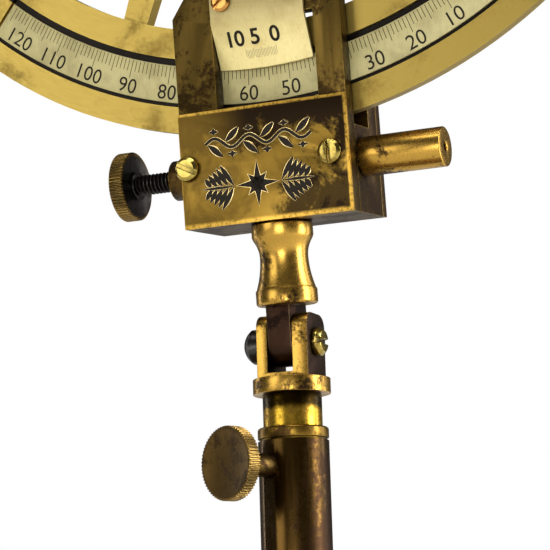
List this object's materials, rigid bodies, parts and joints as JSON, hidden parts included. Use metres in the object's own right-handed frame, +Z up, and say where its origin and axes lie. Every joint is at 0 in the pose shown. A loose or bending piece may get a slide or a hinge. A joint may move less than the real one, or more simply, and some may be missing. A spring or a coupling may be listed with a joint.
{
  "type": "nautical sextant on stand",
  "caption": "Brass nautical sextant with index arm, vernier, mirrors, shades and telescope, carried by its arm on a tilting, telescoping table stand.",
  "frame": {"origin": "centre of the felt face under the round base, on the column's axis", "axes": "+Z up along the column; -Y is the front, the side the scale is read from; +X to the reader's right"},
  "size_m": [0.2327, 0.1526, 0.416],
  "materials": {
    "mahogany": "waxed",
    "green_felt": "napped",
    "aged_brass": "antiqued satin",
    "bright_brass": "polished",
    "limb_brass": "satin",
    "dark_bronze": "blackened",
    "black_steel": "blackened",
    "bright_steel": "bright",
    "silvered_scale": "silvered matt",
    "mirror_glass": "silvered",
    "clear_glass": "clear",
    "red_glass": "tinted",
    "green_glass": "tinted",
    "blue_glass": "tinted",
    "rosewood": "polished"
  },
  "bodies": {
    "stand": {"base_felt": "green_felt", "base_wood": "mahogany", "base_flange": "aged_brass", "flange_screws": "bright_brass", "column_tube": "dark_bronze", "column_collar": "dark_bronze", "clamp_boss": "dark_bronze"},
    "column_clamp": {"column_clamp_screw": "dark_bronze"},
    "lift": {"guide_bush": "aged_brass"},
    "post": {"post_rod": "dark_bronze", "rod_end_nut": "aged_brass", "tilt_fork": "aged_brass", "tilt_bolt": "bright_brass", "tilt_nut": "black_steel"},
    "arm": {"tilt_tongue": "black_steel", "neck": "aged_brass", "block_core": "dark_bronze", "back_plate": "aged_brass", "back_plate_screws": "bright_brass", "index_arm": "dark_bronze", "name_plate": "aged_brass", "name_plate_screws": "bright_brass", "vernier_plate": "silvered_scale", "vernier_screws": "bright_brass", "spring_barrel": "aged_brass", "barrel_spring": "bright_steel", "pivot_spindle": "bright_steel", "spindle_nut": "aged_brass", "index_mirror_frame": "aged_brass", "index_mirror_glass": "mirror_glass"},
    "tangent_knob": {"tangent_screw": "dark_bronze"},
    "slider": {"clamp_slider": "aged_brass", "spring_plunger": "bright_steel"},
    "limb_clamp": {"limb_clamp_screw": "dark_bronze"},
    "frame": {"frame_casting": "limb_brass", "scale_strip": "silvered_scale", "horizon_mirror_frame": "aged_brass", "horizon_mirror_glass": "mirror_glass", "telescope_bracket": "aged_brass", "telescope_bracket_nut": "dark_bronze", "telescope_tube": "limb_brass", "objective_cell": "aged_brass", "objective_lens": "clear_glass", "handle_grip": "rosewood", "handle_brackets": "aged_brass", "handle_screws": "bright_brass", "index_shade_bracket": "aged_brass", "horizon_shade_bracket": "aged_brass"},
    "eyepiece": {"eyepiece_tube": "aged_brass", "eyepiece_lens": "clear_glass"},
    "index_shade_1": {"index_shade_1": "aged_brass", "index_shade_glass_1": "red_glass"},
    "index_shade_2": {"index_shade_2": "aged_brass", "index_shade_glass_2": "green_glass"},
    "index_shade_3": {"index_shade_3": "aged_brass", "index_shade_glass_3": "blue_glass"},
    "horizon_shade_1": {"horizon_shade_1": "aged_brass", "horizon_shade_glass_1": "blue_glass"},
    "horizon_shade_2": {"horizon_shade_2": "aged_brass", "horizon_shade_glass_2": "green_glass"}
  },
  "joints": [
    {"name": "column_clamp_turn", "type": "hinge", "parent": "stand", "child": "column_clamp", "pos_m": [0, 0, 0.1425], "axis": [-0.4067, -0.9135, 0], "range_deg": [0, 360]},
    {"name": "post_lift", "type": "slide", "parent": "stand", "child": "lift", "axis": [0, 0, 1], "range_m": [-0.0095, 0.055]},
    {"name": "post_swivel", "type": "hinge", "parent": "lift", "child": "post", "pos_m": [0, 0, 0.1], "axis": [0, 0, 1], "continuous": true},
    {"name": "head_tilt", "type": "hinge", "parent": "post", "child": "arm", "pos_m": [0, 0, 0.179], "axis": [1, 0, 0], "range_deg": [-45, 40]},
    {"name": "index_swing", "type": "hinge", "parent": "arm", "child": "frame", "pos_m": [0, -0.02233, 0.39143], "axis": [0, 0.9945, 0.1045], "range_deg": [-38, 33.8]},
    {"name": "tangent_turn", "type": "hinge", "parent": "arm", "child": "tangent_knob", "pos_m": [0, -0.00405, 0.23187], "axis": [1, 0, 0], "range_deg": [-750, 750]},
    {"name": "slider_travel", "type": "slide", "parent": "arm", "child": "slider", "axis": [1, 0, 0], "range_m": [-0.00245, 0.00245], "deforming": ["barrel_spring"]},
    {"name": "limb_clamp_turn", "type": "hinge", "parent": "slider", "child": "limb_clamp", "pos_m": [0, -0.00753, 0.25061], "axis": [0, 0.9945, 0.1045], "range_deg": [0, 360]},
    {"name": "eyepiece_draw", "type": "slide", "parent": "frame", "child": "eyepiece", "axis": [0.9991, 0.0045, -0.0425], "range_m": [-0.011, 0.01]},
    {"name": "index_shade_1_swing", "type": "hinge", "parent": "frame", "child": "index_shade_1", "pos_m": [-0.04115, -0.03609, 0.38841], "axis": [-0.855, 0.0542, -0.5158], "range_deg": [0, 100]},
    {"name": "index_shade_2_swing", "type": "hinge", "parent": "frame", "child": "index_shade_2", "pos_m": [-0.04543, -0.03581, 0.38583], "axis": [-0.855, 0.0542, -0.5158], "range_deg": [-32, 68]},
    {"name": "index_shade_3_swing", "type": "hinge", "parent": "frame", "child": "index_shade_3", "pos_m": [-0.0497, -0.03554, 0.38325], "axis": [-0.855, 0.0542, -0.5158], "range_deg": [-68, 32]},
    {"name": "horizon_shade_1_swing", "type": "hinge", "parent": "frame", "child": "horizon_shade_1", "pos_m": [-0.09066, -0.02996, 0.33012], "axis": [0.9991, 0.0045, -0.0425], "range_deg": [0, 100]},
    {"name": "horizon_shade_2_swing", "type": "hinge", "parent": "frame", "child": "horizon_shade_2", "pos_m": [-0.09565, -0.02998, 0.33033], "axis": [0.9991, 0.0045, -0.0425], "range_deg": [-55, 45]}
  ],
  "couplings": [
    {"joint": "tangent_turn", "follows": "slider_travel", "rad_per_m": -4947.4}
  ]
}
